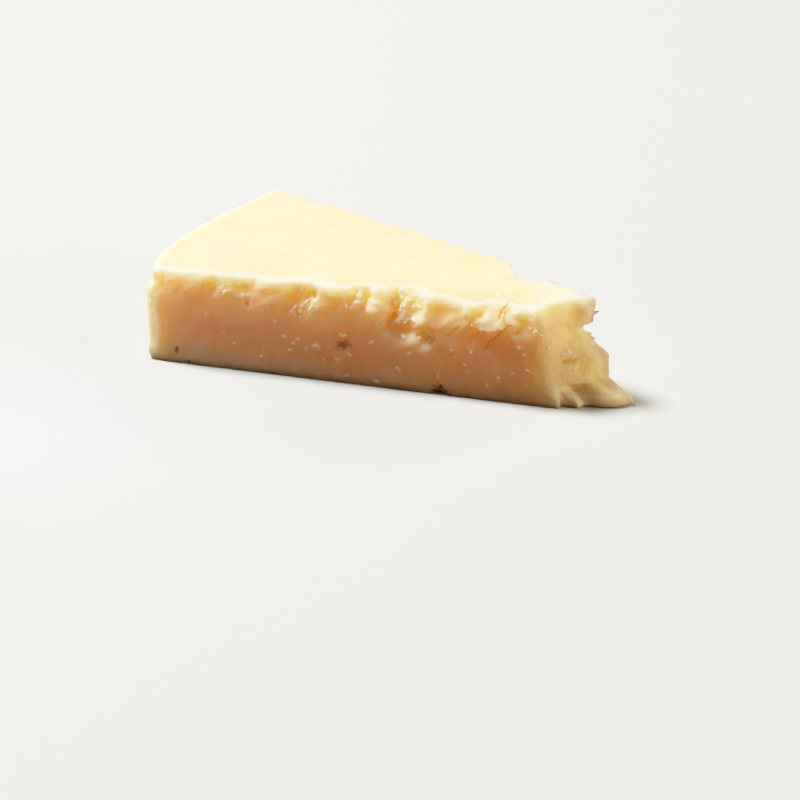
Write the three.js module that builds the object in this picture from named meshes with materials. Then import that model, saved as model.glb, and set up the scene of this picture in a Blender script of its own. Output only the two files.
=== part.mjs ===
// A wedge of hard grating cheese, cut from a wheel, with its point broken off.
// Millimetres, +Z up. The origin is the middle of the wedge's footprint, on the surface that it rests on.
// +X runs from the rind to the broken tip. The front cut face looks along -Y and the back one along +Y.
import * as THREE from "three";
import { ImprovedNoise } from "three/addons/math/ImprovedNoise.js";
import { mergeVertices } from "three/addons/utils/BufferGeometryUtils.js";

const { clamp, degToRad, lerp, smoothstep, seededRandom } = THREE.MathUtils;

// Driving dimensions: the wedge rises a little towards its tip
const HEIGHT_AT_RIND = 32.9;
const HEIGHT_AT_TIP = 34.7;
const FRONT_CUT_ANGLE = degToRad(10.4); // to the X axis
const BACK_CUT_ANGLE = degToRad(12.4);

// Corners of the plan, as x and y
const FRONT_RIND_CORNER = new THREE.Vector2(-77, -36.6);
const BACK_RIND_CORNER = new THREE.Vector2(-67.4, 39);
const FRONT_TIP_X_AT_BASE = 58;
const FRONT_TIP_X_AT_TOP = 50.5;
const BACK_TIP_CORNER = new THREE.Vector2(64.2, 2.9);
const BACK_KNEE = { x: 14, bend: 2 }; // from here on the back face bends in to its tip corner

// The rind: an arc that bows out most nearer the front, a slight barrel, and a band that stands in
const RIND_BOW = 5.9;
const RIND_BOW_SKEW = 0.72;
const RIND_BARREL = 0.7;
const RIND_BAND = { up: 26, soft: 0.8, in: 1.2 };
const RIND_ROUGHNESS = 0.5;
const RIND_GRAIN = 14;

// Rounding of the edges, as the distance that an edge is drawn in and how far that reaches
const CORNER_EASE = 1.3;
const CORNER_REACH = 5;
const CORNER_SHARPENING = { up: 12, share: 0.2 }; // below this height the corners ease less, to this share
const BASE_EDGE = { tall: 2.2, in: 0.6 };
const TOP_EDGE = { tall: 1.6, in: 0.7 };

// The broken end's far edge, down from its top corner: a notch, a shoulder and a foot that stands out
const END_NOTCH = { up: 23, tall: 4.8, deep: 3.3 };
const END_SHOULDER = { up: 17.6, soft: 1.4, out: 5.2 };
const END_FOOT = { tall: 7.5, out: 8.2, bend: 1.4 };
const END_FLANGE = { tall: 3.4, out: 8.5 }; // the front face runs on this far along the base
const RIDGE_JAG = 1.2;

// Grain of the cut and broken faces, which crumble more in a band below the top
const GRAIN_LAYERS = 3;
const LAYER_SHIFT = 7.3;
const CUT_GRAIN = 5;
const MEAN_GRAIN_DEPTH = 0.35; // the grain lies this far in on the whole, as a share of its roughness
const CRUMBLED_BAND = { up: 24.5, soft: 3, roughness: 0.9 };
const OUTLINE_WANDER = 1.6; // of the crags and pockets
const WANDER_UP_SEED = 20; // on top of a face's own seed
const GRAIN_SEED = 40;
const CRAG_SIDES = [0.28, 0.62]; // where a crag's sides start and end, as shares of its width
const POCKET_SIDES = [0.25, 0.6];
const RELIEF_FADE = 2.5; // relief dies out this near an upright edge
const TOP_WAVE = { high: 0.22, long: 26, seed: 60 };

// Crags open at the top of a face. Each runs up from its floor: a small softness leaves a ledge that
// faces up, and a large one a slanted chip. Pockets are closed hollows.
const FRONT_FACE = {
  seed: 0,
  roughness: 0.3,
  crags: [
    { along: 4.5, wide: 4, floor: 28, soft: 1.2, deep: 1.1 },
    { along: 21.5, wide: 5, floor: 27, soft: 1.4, deep: 0.9 },
    { along: 33, wide: 9, floor: 26.5, soft: 2, deep: 1.3 },
    { along: 51.5, wide: 10, floor: 26, soft: 3.2, deep: 2.4 },
    { along: 73.5, wide: 11, floor: 29, soft: 1, deep: 3.2 },
    { along: 85.5, wide: 12, floor: 22, soft: 3.4, deep: 4.6 },
    { along: 98, wide: 13, floor: 28, soft: 3, deep: 1.5 },
    { along: 113.5, wide: 11, floor: 28, soft: 4, deep: 2.8 },
    { along: 125, wide: 8, floor: 29, soft: 3.5, deep: 1.8 },
  ],
  pockets: [
    { along: 65.5, up: 14, wide: 4.6, tall: 3.6, deep: 1.4 },
    { along: 87, up: 19.5, wide: 8, tall: 4, deep: 1.6 },
    { along: 94, up: 19, wide: 5.5, tall: 4.5, deep: 1.5 },
    { along: 98, up: 0.5, wide: 5.5, tall: 4, deep: 1.6 },
  ],
};

const BROKEN_END = {
  seed: 160,
  roughness: 0.9,
  crags: [{ along: 9, wide: 12, floor: 24, soft: 7, deep: 1.8 }],
  pockets: [
    { along: 4.5, up: 5.5, wide: 9, tall: 8, deep: 2.4 },
    { along: 4, up: 17, wide: 5, tall: 3, deep: 1.6 },
  ],
};

// The back face has a bite out of its top near the tip, and lesser crags spread by a rule
const BACK_BITE = { along: 108, wide: 16, floor: 18, soft: 9, deep: 5.2 };
const BACK_CRAGS = {
  count: 9,
  seed: 41,
  reach: 88,
  place: [0.2, 0.8], // within each crag's own share of the reach
  wide: [5, 11],
  floor: [21, 29],
  soft: [1, 4],
  deep: [0.3, 1.5],
};
const BACK_FACE = {
  seed: 80,
  roughness: 0.3,
  crags: [BACK_BITE, ...spreadCrags(BACK_CRAGS)],
  pockets: [],
};

// Steps of the surface along the wedge, across it and upright, and how far they crowd to the edges
const STEPS_ALONG = 78;
const STEPS_ACROSS = 14;
const STEPS_UP = 18;
const ACROSS_CROWDING = 0.5;
const UPWARD_CROWDING = 1.25;
const BACK_LAG = { share: 0.068, starts: 0.2, ends: 0.86 }; // keeps the steps square across the wedge

const perlin = new ImprovedNoise();

// Noise in three layers, about -1 to 1, with features of the given size.
function grain(x, y, z, size) {
  let sum = 0;
  for (let layer = 0; layer < GRAIN_LAYERS; layer++) {
    const scale = 2 ** layer / size;
    sum += perlin.noise(x * scale, y * scale, z * scale + LAYER_SHIFT * layer) / 2 ** layer;
  }
  return sum;
}

function spreadCrags({ count, seed, reach, place, wide, floor, soft, deep }) {
  seededRandom(seed);
  const between = ([low, high]) => lerp(low, high, seededRandom());
  return Array.from({ length: count }, (_, i) => ({
    along: (reach * (i + between(place))) / count,
    wide: between(wide),
    floor: between(floor),
    soft: between(soft),
    deep: between(deep),
  }));
}

// 1 in the middle of a stretch of the given width and 0 outside it, with short slopes.
function plateau(offset, width) {
  return 1 - smoothstep(Math.abs(offset) / width, ...CRAG_SIDES);
}

function cragDepth(crag, along, up) {
  const open = smoothstep(up, crag.floor - crag.soft, crag.floor + crag.soft);
  return crag.deep * plateau(along - crag.along, crag.wide) * open;
}

function pocketDepth(pocket, along, up) {
  const reach = Math.hypot((along - pocket.along) / pocket.wide, (up - pocket.up) / pocket.tall);
  return pocket.deep * (1 - smoothstep(reach, ...POCKET_SIDES));
}

// How far a face lies in from its flat plane, at a place along it and up it.
function reliefDepth(face, along, up) {
  const a = along + OUTLINE_WANDER * grain(along, up, face.seed, CUT_GRAIN);
  const b = up + OUTLINE_WANDER * grain(along, up, face.seed + WANDER_UP_SEED, CUT_GRAIN);
  const band = CRUMBLED_BAND;
  const crumbled = smoothstep(up, band.up - band.soft, band.up + band.soft);
  const rough = Math.max(face.roughness, band.roughness * crumbled);
  let depth = rough * (MEAN_GRAIN_DEPTH + grain(along, up, face.seed + GRAIN_SEED, CUT_GRAIN));
  for (const crag of face.crags) depth += cragDepth(crag, a, b);
  for (const pocket of face.pockets) depth += pocketDepth(pocket, a, b);
  return depth;
}

// 0 at both ends of a face and 1 further in than RELIEF_FADE.
function fadeAtEnds(distance, length) {
  return smoothstep(Math.min(distance, length - distance), 0, RELIEF_FADE);
}

// How far a face's edges are drawn in at the base and at the top.
function edgeInset(up, height) {
  const base = BASE_EDGE.in * (1 - smoothstep(up, 0, BASE_EDGE.tall));
  const top = TOP_EDGE.in * (1 - smoothstep(height - up, 0, TOP_EDGE.tall));
  return base + top;
}

// How far an upright edge at the rind is drawn in, at a distance from it.
function cornerEase(distance, up) {
  const share = lerp(CORNER_SHARPENING.share, 1, smoothstep(up, 0, CORNER_SHARPENING.up));
  return share * CORNER_EASE * (1 - smoothstep(distance, 0, CORNER_REACH));
}

function rindOffset(up) {
  const barrel = RIND_BARREL * Math.sin((Math.PI * clamp(up, 0, HEIGHT_AT_RIND)) / HEIGHT_AT_RIND);
  const { up: middle, soft } = RIND_BAND;
  return RIND_BAND.in * smoothstep(up, middle - soft, middle + soft) - barrel;
}

// How far the broken end's far edge stands out beyond its top corner.
function endReach(up) {
  const notch = END_NOTCH.deep * plateau(up - END_NOTCH.up, END_NOTCH.tall);
  const { up: middle, soft } = END_SHOULDER;
  const shoulder = END_SHOULDER.out * (1 - smoothstep(up, middle - soft, middle + soft));
  const foot = END_FOOT.out * clamp(1 - up / END_FOOT.tall, 0, 1) ** END_FOOT.bend;
  return shoulder + foot - notch;
}

// The four upright edges at a height, as plan points, with the faces' edges drawn in.
function cornersAt(up, height) {
  const inset = edgeInset(up, height);
  const rindX = rindOffset(up) + inset;
  const jag = RIDGE_JAG * grain(0, 0, up, CUT_GRAIN);
  const flange = END_FLANGE.out * clamp(1 - up / END_FLANGE.tall, 0, 1);
  const rise = clamp(up / HEIGHT_AT_TIP, 0, 1);
  const ridgeX = lerp(FRONT_TIP_X_AT_BASE, FRONT_TIP_X_AT_TOP, rise) + jag + flange;
  const ridgeY = FRONT_RIND_CORNER.y + Math.tan(FRONT_CUT_ANGLE) * (ridgeX - FRONT_RIND_CORNER.x);
  return {
    frontRind: new THREE.Vector2(FRONT_RIND_CORNER.x + rindX, FRONT_RIND_CORNER.y + inset),
    backRind: new THREE.Vector2(BACK_RIND_CORNER.x + rindX, BACK_RIND_CORNER.y - inset),
    frontTip: new THREE.Vector2(ridgeX, ridgeY + inset),
    backTip: new THREE.Vector2(BACK_TIP_CORNER.x + endReach(up) - inset, BACK_TIP_CORNER.y),
  };
}

function frontPoint(u, up, corners) {
  const point = corners.frontRind.clone().lerp(corners.frontTip, u);
  const length = corners.frontRind.distanceTo(corners.frontTip);
  const along = length * u;
  const depth = fadeAtEnds(along, length) * reliefDepth(FRONT_FACE, along, up);
  const ease = cornerEase(along, up);
  point.x += ease - depth * Math.sin(FRONT_CUT_ANGLE);
  point.y += ease + depth * Math.cos(FRONT_CUT_ANGLE);
  return point;
}

function backPoint(u, up, corners) {
  const lag = smoothstep(u, 0, BACK_LAG.starts) * (1 - smoothstep(u, BACK_LAG.ends, 1));
  const share = u - BACK_LAG.share * lag;
  const point = corners.backRind.clone().lerp(corners.backTip, share);
  const straight = corners.backRind.y - Math.tan(BACK_CUT_ANGLE) * (point.x - corners.backRind.x);
  const turn = clamp((point.x - BACK_KNEE.x) / (corners.backTip.x - BACK_KNEE.x), 0, 1);
  point.y = lerp(straight, corners.backTip.y, turn ** BACK_KNEE.bend);
  const length = corners.backRind.distanceTo(corners.backTip);
  const along = length * share;
  const depth = fadeAtEnds(along, length) * reliefDepth(BACK_FACE, along, up);
  const ease = cornerEase(along, up);
  point.x += ease - depth * Math.sin(BACK_CUT_ANGLE);
  point.y -= ease + depth * Math.cos(BACK_CUT_ANGLE);
  return point;
}

function rindPoint(v, up, corners) {
  const point = corners.frontRind.clone().lerp(corners.backRind, v);
  const chord = corners.frontRind.distanceTo(corners.backRind);
  const bow = RIND_BOW * Math.sin(Math.PI * v ** RIND_BOW_SKEW);
  const bumps = RIND_ROUGHNESS * grain(point.x, point.y, up, RIND_GRAIN) * fadeAtEnds(chord * v, chord);
  const frontEase = cornerEase(chord * v, up);
  const backEase = cornerEase(chord * (1 - v), up);
  point.x += frontEase + backEase + bumps - bow;
  point.y += frontEase - backEase;
  return point;
}

function tipPoint(v, up, corners) {
  const point = corners.frontTip.clone().lerp(corners.backTip, v);
  const across = new THREE.Vector2().subVectors(corners.backTip, corners.frontTip);
  const width = across.length();
  const fade = fadeAtEnds(width * v, width);
  const depth = fade * reliefDepth(BROKEN_END, width * v, up);
  point.x -= (depth * across.y) / width;
  point.y += (depth * across.x) / width;
  return point;
}

// The top is a plane with the slow waves that a wire leaves.
function topAt(x, y) {
  const run = BACK_TIP_CORNER.x - FRONT_RIND_CORNER.x;
  const share = clamp((x - FRONT_RIND_CORNER.x) / run, 0, 1);
  const wave = TOP_WAVE.high * grain(x, y, TOP_WAVE.seed, TOP_WAVE.long);
  return lerp(HEIGHT_AT_RIND, HEIGHT_AT_TIP, share) + wave;
}

// A point of the surface from its shares along, across and up the wedge. Each level is filled between
// its four edges as a Coons patch, so that the top and base follow the relief of the walls.
function wedgePoint(u, v, level) {
  const height = lerp(HEIGHT_AT_RIND, HEIGHT_AT_TIP, u);
  const up = level * height;
  const corners = cornersAt(up, height);
  const acrossFill = frontPoint(u, up, corners).lerp(backPoint(u, up, corners), v);
  const alongFill = rindPoint(v, up, corners).lerp(tipPoint(v, up, corners), u);
  const frontChord = frontPoint(0, up, corners).lerp(frontPoint(1, up, corners), u);
  const backChord = backPoint(0, up, corners).lerp(backPoint(1, up, corners), u);
  const flat = acrossFill.add(alongFill).sub(frontChord.lerp(backChord, v));
  return new THREE.Vector3(flat.x, flat.y, level * topAt(flat.x, flat.y));
}

function wedgeGeometry() {
  const box = new THREE.BoxGeometry(1, 1, 1, STEPS_ALONG, STEPS_ACROSS, STEPS_UP);
  box.deleteAttribute("normal");
  box.deleteAttribute("uv");
  const geometry = mergeVertices(box);
  const position = geometry.getAttribute("position");
  for (let i = 0; i < position.count; i++) {
    const u = position.getX(i) + 0.5;
    const across = position.getY(i) + 0.5;
    const v = across - (ACROSS_CROWDING * Math.sin(2 * Math.PI * across)) / (2 * Math.PI);
    const level = 1 - (0.5 - position.getZ(i)) ** UPWARD_CROWDING;
    const moved = wedgePoint(u, v, level);
    position.setXYZ(i, moved.x, moved.y, moved.z);
  }
  geometry.computeVertexNormals();
  geometry.computeBoundingBox();
  return geometry;
}

const cheese = new THREE.MeshStandardMaterial({ color: 0xf3e2b4, roughness: 0.62, metalness: 0 });
const wedge = new THREE.Mesh(wedgeGeometry(), cheese);
const middle = wedge.geometry.boundingBox.getCenter(new THREE.Vector3());
wedge.position.set(-middle.x, -middle.y, 0);
wedge.name = "cheese_wedge";

const group = new THREE.Group();
group.add(wedge);

export default group;
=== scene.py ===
import math
import random
from collections import namedtuple

import bmesh
import bpy
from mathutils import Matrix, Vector, noise
from mathutils.kdtree import KDTree


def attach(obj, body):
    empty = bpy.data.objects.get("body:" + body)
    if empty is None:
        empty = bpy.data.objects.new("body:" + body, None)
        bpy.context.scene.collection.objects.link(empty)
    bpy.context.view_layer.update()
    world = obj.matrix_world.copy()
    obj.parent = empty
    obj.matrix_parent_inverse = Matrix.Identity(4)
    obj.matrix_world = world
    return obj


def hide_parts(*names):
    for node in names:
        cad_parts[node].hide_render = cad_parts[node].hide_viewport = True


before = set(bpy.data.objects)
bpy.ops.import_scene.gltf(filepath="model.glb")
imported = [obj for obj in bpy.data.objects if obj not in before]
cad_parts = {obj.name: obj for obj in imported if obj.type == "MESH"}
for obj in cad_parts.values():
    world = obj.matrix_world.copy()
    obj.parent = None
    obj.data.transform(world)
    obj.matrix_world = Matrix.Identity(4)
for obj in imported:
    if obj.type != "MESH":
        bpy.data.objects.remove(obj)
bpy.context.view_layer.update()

# Metres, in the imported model's frame. Most sizes are written in millimetres and turned to metres by MM.
MM = 0.001
WEDGE = "cheese_wedge"

# The view: where the camera looks, from where, and its lens on a square picture
LOOK_AT = Vector((11.334, -28.3, 0)) * MM
AZIMUTH = math.radians(25.1)
ELEVATION = math.radians(28.08)
CAMERA_DISTANCE = 1.2147
LENS = 170.8
SENSOR = 36

# Lights: a soft key high on the left, a warm fill on the right, one behind, a small one by the left end
Light = namedtuple("Light", "name comes_from distance size power colour")
LIGHTS = [
    # The key stands a little behind the front's plane, so that it only grazes that face
    Light("key", Vector((-0.56, -0.062, 0.82)), 3, 0.8, 205, (1, 0.87, 0.68)),
    Light("side fill", Vector((0.95, 0.15, 0.3)), 2, 1, 32, (1, 0.79, 0.48)),
    Light("back light", Vector((0.5, 0.85, 0.4)), 3, 1.2, 30, (1, 0.85, 0.64)),
    Light("near fill", Vector((-0.104, -0.112, 0.035)), 0.154, 0.05, 0.01, (0.62, 0.82, 1)),
]

# The surroundings: a weak warm fill for the cheese, and a pale backdrop for the camera
FILL_COLOUR = (1, 0.6, 0.26)
FILL_STRENGTH = 0.032
BACKDROP_COLOUR = (0.86, 0.85, 0.83)

# The film: a soft shoulder up to the white level, as pairs of light and what is shown
FILM_WHITE = 2
FILM_SHOULDER = [(0.4, 0.4), (0.8, 0.7), (1.2, 0.88), (1.6, 0.96)]
COMBINED_CURVE = 3

# The floor is pale to the camera and returns a warm light to the cheese
FLOOR_SIZE = 6
FLOOR_COLOUR = (0.52, 0.61, 0.74, 1)
FLOOR_BOUNCE = (0.19, 0.066, 0.017, 1)
FLOOR_ROUGHNESS = 0.9

# The wedge's sides in plan, in millimetres: a corner of each cut face at the rind and the way that it runs
Cut = namedtuple("Cut", "corner along inward")
FRONT_ANGLE = math.radians(10.4)
BACK_ANGLE = math.radians(12.4)
FRONT_CUT = Cut(
    corner=Vector((-75.2, -37.8)),
    along=Vector((math.cos(FRONT_ANGLE), math.sin(FRONT_ANGLE))),
    inward=Vector((-math.sin(FRONT_ANGLE), math.cos(FRONT_ANGLE))),
)
BACK_CUT = Cut(
    corner=Vector((-65.6, 37.8)),
    along=Vector((math.cos(BACK_ANGLE), -math.sin(BACK_ANGLE))),
    inward=Vector((-math.sin(BACK_ANGLE), -math.cos(BACK_ANGLE))),
)
END_INWARD = Vector((-0.84, 0.54))
RIND_OUT = Vector((-0.992, 0.126))
RIND_START = 66
SIDE_SOFTNESS = 5
HEIGHT_AT_RIND = 32.9
HEIGHT_AT_TIP = 34.7
HEIGHT_RISES = (-75, 66)
RIDGE_AT_BASE = 137.3
RIDGE_AT_TOP = 129.6
RIDGE_WANDER = 5
BREAK_EARLY = 4
BACK_CLEAR = (0.3, 2)

# What counts as top and as base: how far a face looks up or down, and how far it lies below the top
TOP_NORMALS = (0.45, 0.9)
TOP_BAND = (0.8, 2)
BASE_NORMALS = (0.5, 0.9)

# Marks on a cut face, by distance along it from the rind and by height, in millimetres. A hollow's edges
# are soft or crisp by the four distances in soft: left, right, floor and roof. A swell is a hollow that
# stands out. One that leans moves along the face as it goes up. A roof that is OPEN lies above the top.
Patch = namedtuple("Patch", "along up wide tall rough")
Hollow = namedtuple("Hollow", "left right floor roof deep soft lean", defaults=[0])
Pit = namedtuple("Pit", "along up wide tall deep points")
Chip = namedtuple("Chip", "along up long wide lean")
Crystal = namedtuple("Crystal", "along up wide")
Crack = namedtuple("Crack", "wide deep points")
Marks = namedtuple("Marks", "patches hollows swells pits cracks chips crystals")
OPEN = 42
FRONT = Marks(
    patches=[
        Patch(5, 28, 5, 4, 0.3),
        Patch(22, 28.5, 7, 5, 0.35),
        Patch(33, 27, 11, 6, 0.4),
        Patch(52.2, 26.5, 7, 15, 0.55),
        Patch(73, 30, 11, 6, 0.35),
        Patch(87.5, 27, 9.5, 18, 0.8),
        Patch(93.5, 20, 8, 6, 0.5),
        Patch(113, 29, 12, 9, 0.3),
        Patch(127, 25, 14, 9, 0.35),
        Patch(135, 12, 14, 24, 0.3),
    ],
    hollows=[
        Hollow(3.2, 6, 26.5, 30.5, 0.9, (0.8, 0.6, 0.7, 1.5)),
        Hollow(20.2, 22.8, 27, 31.5, 0.9, (1, 0.6, 0.8, 1.5)),
        Hollow(25.5, 28.6, 27.5, 32, 0.7, (1.2, 0.6, 0.8, 1.5)),
        Hollow(31, 34.6, 27, 32.4, 1.1, (2.5, 0.5, 1, 1.8)),
        Hollow(33, 35.6, 22.5, 27, 0.5, (1, 0.5, 1, 1)),
        Hollow(44, 49.4, 25, 32.8, 1.2, (3, 1, 3.5, 2), 0.12),
        Hollow(53.4, 57.4, 27.6, 32, 1.5, (1, 0.6, 0.8, 2)),
        Hollow(50.2, 52.8, 20.5, 25.8, 0.8, (0.4, 1.6, 1.2, 1.2)),
        Hollow(66, 69.4, 27.5, 32.4, 0.8, (1, 0.6, 1, 2)),
        Hollow(68.6, 76.8, 28.8, OPEN, 1.2, (0.5, 5, 0.5, 2)),
        Hollow(76.6, 81.2, 25.5, OPEN, 2, (2.5, 1.8, 4, 2), 0.4),
        Hollow(79, 89.8, 20.1, 22.6, 0.6, (3, 2, 0.6, 1)),
        Hollow(90.4, 95, 19.2, 23.6, 1.6, (1.2, 2.4, 0.8, 1.5)),
        Hollow(117.5, 136, 22, OPEN, 1, (7, 6, 11, 2)),
        Hollow(126.5, 134.5, 24.8, 30.5, 0.35, (3, 3, 0.9, 4)),
        Hollow(125, 152, 2, 30, 1.4, (12, 14, 5, 9)),
        Hollow(137.8, 142.8, 13, 15.6, 3, (1, 2, 0.7, 1.2), -0.2),
        Hollow(139, 151, 0.4, 9, 2.2, (0.6, 10.5, 3, 5), -0.1),
    ],
    swells=[
        Hollow(79.5, 92.5, 20.5, 34, 2.5, (3, 4, 4.5, 9), 0.4),
        Hollow(106.6, 119.6, 24.5, 37, 1.9, (5.5, 2, 0.8, 11)),
        Hollow(119, 126.5, 24, 34, 1.3, (3, 4, 4, 7)),
        Hollow(98.5, 108, 20, OPEN, 0.6, (5, 1, 11, 2)),
        Hollow(73, 78.6, 27.6, OPEN, 2, (3.4, 2.6, 1, 2)),
        Hollow(69.4, 73, 28.2, 31.8, 1.9, (0.8, 1.6, 0.7, 2)),
        Hollow(29.5, 37, 31, OPEN, 0.7, (2, 2, 1.6, 2)),
        Hollow(45.5, 57.5, 31.4, OPEN, 0.9, (2.5, 2.5, 1.8, 2)),
    ],
    pits=[
        Pit(9.5, 4.5, 2, 3.2, 2, 0),
        Pit(7.5, 26, 1.6, 2.4, 0.35, 0),
        Pit(14, 25.2, 2, 2, 0.45, 3),
        Pit(19.4, 28.4, 2, 2.6, 0.45, 0),
        Pit(25.6, 26.8, 1.6, 1.6, 0.35, 4),
        Pit(29.4, 25.8, 1.8, 1.8, 0.4, 3),
        Pit(33.6, 24, 1.6, 2.4, 0.4, 3),
        Pit(40.6, 23, 1.4, 1.4, 0.3, 0),
        Pit(66.8, 14, 5.4, 3.4, 1.1, 5),
        Pit(68, 17.6, 2.4, 1.4, 0.3, 4),
        Pit(70.2, 7, 0.9, 1.6, 0.6, 0),
        Pit(91, 12.6, 1.2, 0.9, 0.6, 3),
        Pit(92.6, 11, 1.3, 0.9, 0.6, 3),
        Pit(97.6, 1.6, 5, 4, 2.4, 5),
        Pit(14.5, 0.4, 2, 1.4, 1.2, 0),
        Pit(43, 0.4, 3, 1.6, 1, 0),
    ],
    cracks=[
        Crack(1.1, 1.3, [(118.7, 34), (118.4, 32.9), (117.4, 31.8), (117.5, 29.8)]),
        Crack(0.8, 0.9, [(121, 27.2), (118.6, 24.8), (115.6, 23.2), (113.7, 20.2), (113, 17.8)]),
        Crack(0.8, 0.7, [(104.5, 24.5), (102.4, 23.2), (100.4, 21.2)]),
        Crack(2, 1.2, [(142, 14.7), (140, 14), (138.4, 14.2)]),
    ],
    chips=[
        Chip(51.2, 30.6, 2, 1.6, 20),
        Chip(52.6, 33, 2, 1.3, -35),
        Chip(55.4, 28.4, 1.6, 1, 60),
        Chip(56.8, 27.6, 1.7, 1.1, 75),
        Chip(54, 27, 1.3, 0.9, 40),
        Chip(51.8, 24.6, 2, 1, 80),
        Chip(51.4, 22.4, 1.7, 1.1, 55),
        Chip(66.4, 30.8, 1, 0.8, -20),
        Chip(66.9, 28, 1.1, 0.9, 30),
        Chip(70.6, 30.1, 2.2, 1.9, -15),
        Chip(75.4, 29.4, 2, 1, -10),
        Chip(82, 26.4, 1.8, 1.1, 20),
        Chip(83.2, 29, 1.6, 1, -35),
        Chip(84.2, 27.4, 1.3, 1, 60),
        Chip(84.4, 30.6, 1.5, 1.2, 75),
        Chip(85, 25.2, 1, 0.9, 40),
        Chip(86.6, 23.6, 2.6, 1.5, 80),
        Chip(87.6, 30.4, 1.7, 1.3, 55),
        Chip(88.6, 24.8, 1.7, 1.3, -20),
        Chip(88.6, 28, 1.4, 1, 30),
        Chip(90, 28.8, 1.9, 1.2, -15),
        Chip(79.2, 22.9, 2.8, 1.9, 10),
        Chip(86.2, 19.2, 2.4, 1.1, -10),
        Chip(94, 19.4, 2.4, 1.3, 20),
        Chip(108.4, 25.6, 1.2, 0.9, -35),
        Chip(119.4, 33, 1.3, 1, 75),
        Chip(118.8, 30.4, 1.2, 0.9, 40),
        Chip(113.4, 24.2, 1, 0.7, 80),
        Chip(121.8, 25.6, 1, 0.8, 55),
        Chip(127, 26.4, 1.2, 0.9, -20),
        Chip(129.4, 25.6, 1.7, 0.8, 30),
        Chip(131, 24.8, 1.3, 0.7, -15),
        Chip(67.4, 17.2, 1.9, 0.7, 10),
        Chip(66.2, 17.8, 0.9, 0.7, -10),
        Chip(139.2, 17, 3.6, 1.5, 18),
        Chip(140.8, 12, 4.2, 1.4, 6),
        Chip(143.6, 14.4, 1.8, 1.1, -30),
        Chip(133.4, 20.6, 1.6, 0.9, 15),
        Chip(135.2, 5, 1.3, 0.9, 75),
    ],
    crystals=[
        Crystal(46, 14.7, 1.3),
        Crystal(49.4, 12.2, 0.9),
        Crystal(51.4, 13.6, 1),
        Crystal(53.8, 11.2, 1.1),
        Crystal(57.4, 12, 1.7),
        Crystal(59.2, 7.8, 1),
        Crystal(55.4, 8, 0.8),
        Crystal(63.9, 7.9, 1.5),
        Crystal(67.9, 10.6, 1.2),
        Crystal(65.4, 9, 0.8),
        Crystal(67.4, 2.8, 1),
        Crystal(75.9, 15.5, 1.4),
        Crystal(84.4, 7.2, 1.7),
        Crystal(77.2, 2, 1.5),
        Crystal(48.4, 9.6, 0.9),
        Crystal(30, 9, 0.8),
        Crystal(97.5, 7, 0.9),
        Crystal(106, 12, 0.8),
        Crystal(114, 6, 0.9),
        Crystal(107.3, 9.9, 1.1),
        Crystal(102.1, 16.3, 1),
        Crystal(102.9, 13.9, 0.8),
        Crystal(108.2, 16.9, 0.8),
        Crystal(120, 20.4, 0.9),
        Crystal(123.9, 20, 1),
        Crystal(125.8, 17.9, 0.8),
        Crystal(118.2, 8.9, 0.9),
        Crystal(126.8, 12.7, 1),
        Crystal(121.7, 11, 0.8),
        Crystal(26, 13.4, 0.7),
        Crystal(38.4, 6.4, 0.8),
        Crystal(88.4, 13.8, 0.8),
    ],
)

# How marks are shaped: their heights, the fading of their edges, and how far they wander from plain outlines
PATCH_FADE = (0.3, 0.62)
PIT_REACH = 2
PIT_LOBES = 0.45
PIT_FLOOR = 0.2
CRACK_MARGIN = 2
CHIP_HIGH = 0.9
CHIP_FADE = (0.55, 1.1)
CHIP_MEAN = 0.55
CHIP_TILT = 0.45
CHIP_FACING = (0.5, -0.8)
CHIP_SHOWS = (0, 0.4)
CRYSTAL_HIGH = 0.35
CRYSTAL_FADE = (0.6, 1.4)
MARK_WANDERS = [(1, 5), (0.6, 1.9)]
WANDER_SEED = 4
RIM_FADE = 0.5
RIM_FADE_BY_DEPTH = 3

# Where small flakes are spread over the front
FRONT_CRUMBLED = [
    Patch(87, 28, 8, 10, 1),
    Patch(53.4, 25.5, 6, 8, 0.5),
    Patch(30, 28, 9, 3, 0.3),
    Patch(128, 25, 7, 3, 0.4),
    Patch(93, 20, 6, 4, 0.3),
]
FRONT_SEED = 5
SMALL_CHIP_COUNT = 16
SMALL_CHIP_LENGTHS = (0.7, 1.2)
SMALL_CHIP_WIDTHS = (0.6, 1)
CHIP_LEANS = (-90, 90)
OVER_PATCH = (-0.5, 0.5)

# Thin flakes that stand out from the far edge of the broken end, by their height
Wisp = namedtuple("Wisp", "up long wide rise")
WISPS = [Wisp(28.6, 1.9, 0.9, 0.7), Wisp(21.6, 1.5, 0.8, 0.3), Wisp(20.4, 1.2, 0.7, -0.2)]
WISP_LEVEL = 0.5

# Marks of the hidden cut face, spread by a rule
BACK_PATCH_COUNT = 12
BACK_REACH = 134
BACK_SEED = 7
BACK_SPACING = (0.2, 0.8)
BACK_PATCH_HEIGHTS = (25, 31)
BACK_PATCH_WIDTHS = (5, 12)
BACK_PATCH_TALLS = (5, 14)
BACK_ROUGHNESSES = (0.35, 1)
BACK_CRISP_EDGES = (0.5, 1.5)
BACK_SOFT_EDGES = (1.5, 3)
BACK_ROOF_EDGE = 2
BACK_DEPTHS = (0.7, 1.6)
BACK_PIT_HEIGHTS = (3, 20)
BACK_PIT_ASIDE = (-3, 3)
BACK_PIT_WIDTHS = (0.8, 3)
BACK_PIT_TALLS = (0.8, 2.4)
BACK_PIT_DEEP = 0.8
BACK_PIT_POINTS = 3
BACK_CHIPS_EACH = 4
BACK_CHIPS_UP = (-0.4, 0.4)
BACK_CHIP_LENGTHS = (1, 2.4)
BACK_CHIP_WIDTHS = (0.8, 1.6)
BACK_CRYSTALS_EACH = 2
BACK_CRYSTAL_ASIDE = (-6, 6)
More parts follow.
